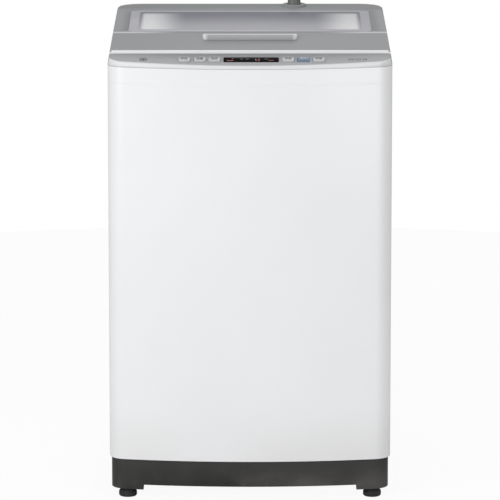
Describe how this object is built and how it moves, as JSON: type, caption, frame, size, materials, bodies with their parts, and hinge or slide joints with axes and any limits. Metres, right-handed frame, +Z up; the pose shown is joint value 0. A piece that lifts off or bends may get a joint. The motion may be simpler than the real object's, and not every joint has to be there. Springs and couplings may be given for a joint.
{
  "type": "top load washing machine",
  "caption": "Domestic top-loading washing machine: sheet steel cabinet on a dark base, folding lid with a clear pane, sloped front console, hung tub and belt drive.",
  "frame": {"origin": "on the floor, under the middle of the machine's bounding box", "axes": "+Z up, -Y towards the person in front, +X to that person's right"},
  "size_m": [0.56, 0.57, 0.936],
  "materials": {
    "white_enamel": "smooth gloss enamel on sheet steel",
    "zinc_steel": "zinc-plated steel",
    "base_plastic": "fine-grained dark plastic",
    "dark_rubber": "matte black rubber",
    "grey_plastic": "satin silver-grey painted plastic",
    "clear_pane": "clear lid pane with a pale border",
    "black_gloss": "glossy black display window",
    "button_plastic": "satin light grey plastic",
    "circuit_board": "green lacquered board",
    "tub_plastic": "moulded pale plastic",
    "stainless": "stainless steel",
    "motor_alloy": "cast alloy"
  },
  "bodies": {
    "cabinet": {"cabinet_shell": "white_enamel", "rear_panel": "zinc_steel", "power_cord_gland": "dark_rubber", "base_frame": "base_plastic", "foot_rear_left": "dark_rubber", "foot_rear_right": "dark_rubber", "top_cover": "grey_plastic", "rear_housing": "grey_plastic", "control_panel": "grey_plastic", "display_window": "black_gloss", "control_board": "circuit_board", "lid_switch": "base_plastic", "inlet_valve": "base_plastic", "dispenser_housing": "tub_plastic", "hinge_pin_left": "zinc_steel", "hinge_pin_right": "zinc_steel", "rod_front_left": "zinc_steel", "rod_front_right": "zinc_steel", "rod_rear_left": "zinc_steel", "rod_rear_right": "zinc_steel", "spring_front_left": "zinc_steel", "spring_front_right": "zinc_steel", "spring_rear_left": "zinc_steel", "spring_rear_right": "zinc_steel", "drain_pump": "tub_plastic", "drain_hose": "dark_rubber", "drain_outlet": "base_plastic", "drain_bellows": "dark_rubber"},
    "lid_rear": {"lid_rear_panel": "grey_plastic", "lid_window": "clear_pane", "fold_pin": "zinc_steel"},
    "lid_front": {"lid_front_panel": "grey_plastic", "lid_handle": "grey_plastic"},
    "drawer": {"detergent_drawer": "button_plastic"},
    "tub": {"outer_tub": "tub_plastic", "tub_ring": "tub_plastic", "drive_bracket": "zinc_steel", "clutch_housing": "motor_alloy", "motor_body": "motor_alloy", "drive_belt": "dark_rubber"},
    "basket": {"basket": "stainless", "basket_base": "motor_alloy", "balance_ring": "tub_plastic", "spin_shaft": "zinc_steel", "lint_channel": "tub_plastic"},
    "lint_filter": {"lint_filter": "button_plastic"},
    "pulsator": {"pulsator": "tub_plastic", "wash_shaft": "zinc_steel", "pulsator_screw": "stainless"},
    "clutch_pulley": {"clutch_pulley": "zinc_steel"},
    "motor_pulley": {"motor_pulley": "zinc_steel"},
    "impeller": {"pump_impeller": "base_plastic"},
    "foot_left": {"foot_front_left": "dark_rubber"},
    "foot_right": {"foot_front_right": "dark_rubber"},
    "key_1": {"button_1": "button_plastic"},
    "key_2": {"button_2": "button_plastic"},
    "key_3": {"button_3": "button_plastic"},
    "key_4": {"button_4": "button_plastic"},
    "key_5": {"button_5": "button_plastic"},
    "key_6": {"button_6": "button_plastic"}
  },
  "joints": [
    {"name": "lid_hinge", "type": "hinge", "parent": "cabinet", "child": "lid_rear", "pos_m": [0, 0.196, 0.912], "axis": [-1, 0, 0], "range_deg": [0, 85]},
    {"name": "lid_fold", "type": "hinge", "parent": "lid_rear", "child": "lid_front", "pos_m": [0, -0.08, 0.8935], "axis": [1, 0, 0], "range_deg": [0, 153]},
    {"name": "drawer_slide", "type": "slide", "parent": "cabinet", "child": "drawer", "axis": [0, -1, 0], "range_m": [0, 0.09]},
    {"name": "tub_bounce", "type": "slide", "parent": "cabinet", "child": "tub", "axis": [0, 0, 1], "range_m": [-0.025, 0], "stiffness_N_per_m": 9000, "springref_m": 0.035, "deforming": ["spring_front_left", "spring_front_right", "spring_rear_left", "spring_rear_right", "drain_bellows"]},
    {"name": "basket_spin", "type": "hinge", "parent": "tub", "child": "basket", "pos_m": [0, -0.01, 0.28], "axis": [0, 0, 1], "continuous": true},
    {"name": "lint_filter_hinge", "type": "hinge", "parent": "basket", "child": "lint_filter", "pos_m": [0, 0.1905, 0.4508], "axis": [1, 0, 0], "range_deg": [0, 60]},
    {"name": "pulsator_spin", "type": "hinge", "parent": "basket", "child": "pulsator", "pos_m": [0, -0.01, 0.3], "axis": [0, 0, 1], "continuous": true},
    {"name": "clutch_pulley_spin", "type": "hinge", "parent": "tub", "child": "clutch_pulley", "pos_m": [0, -0.01, 0.105], "axis": [0, 0, 1], "continuous": true},
    {"name": "motor_spin", "type": "hinge", "parent": "tub", "child": "motor_pulley", "pos_m": [0.138, -0.01, 0.105], "axis": [0, 0, 1], "continuous": true},
    {"name": "impeller_spin", "type": "hinge", "parent": "cabinet", "child": "impeller", "pos_m": [-0.13, 0.12, 0.09], "axis": [0, 0, 1], "continuous": true},
    {"name": "foot_left_screw", "type": "slide", "parent": "cabinet", "child": "foot_left", "axis": [0, 0, -1], "range_m": [0, 0.012]},
    {"name": "foot_right_screw", "type": "slide", "parent": "cabinet", "child": "foot_right", "axis": [0, 0, -1], "range_m": [0, 0.012]},
    {"name": "key_1_press", "type": "slide", "parent": "cabinet", "child": "key_1", "axis": [0, 0.2149, -0.9766], "range_m": [0, 0.0015], "stiffness_N_per_m": 400, "springref_m": -0.002},
    {"name": "key_2_press", "type": "slide", "parent": "cabinet", "child": "key_2", "axis": [0, 0.2149, -0.9766], "range_m": [0, 0.0015], "stiffness_N_per_m": 400, "springref_m": -0.002},
    {"name": "key_3_press", "type": "slide", "parent": "cabinet", "child": "key_3", "axis": [0, 0.2149, -0.9766], "range_m": [0, 0.0015], "stiffness_N_per_m": 400, "springref_m": -0.002},
    {"name": "key_4_press", "type": "slide", "parent": "cabinet", "child": "key_4", "axis": [0, 0.2149, -0.9766], "range_m": [0, 0.0015], "stiffness_N_per_m": 400, "springref_m": -0.002},
    {"name": "key_5_press", "type": "slide", "parent": "cabinet", "child": "key_5", "axis": [0, 0.2149, -0.9766], "range_m": [0, 0.0015], "stiffness_N_per_m": 400, "springref_m": -0.002},
    {"name": "key_6_press", "type": "slide", "parent": "cabinet", "child": "key_6", "axis": [0, 0.2149, -0.9766], "range_m": [0, 0.0015], "stiffness_N_per_m": 400, "springref_m": -0.002}
  ],
  "couplings": [
    {"joint": "lid_fold", "follows": "lid_hinge", "ratio": 1.8},
    {"joint": "clutch_pulley_spin", "follows": "pulsator_spin", "ratio": 5},
    {"joint": "motor_spin", "follows": "pulsator_spin", "ratio": 10}
  ]
}
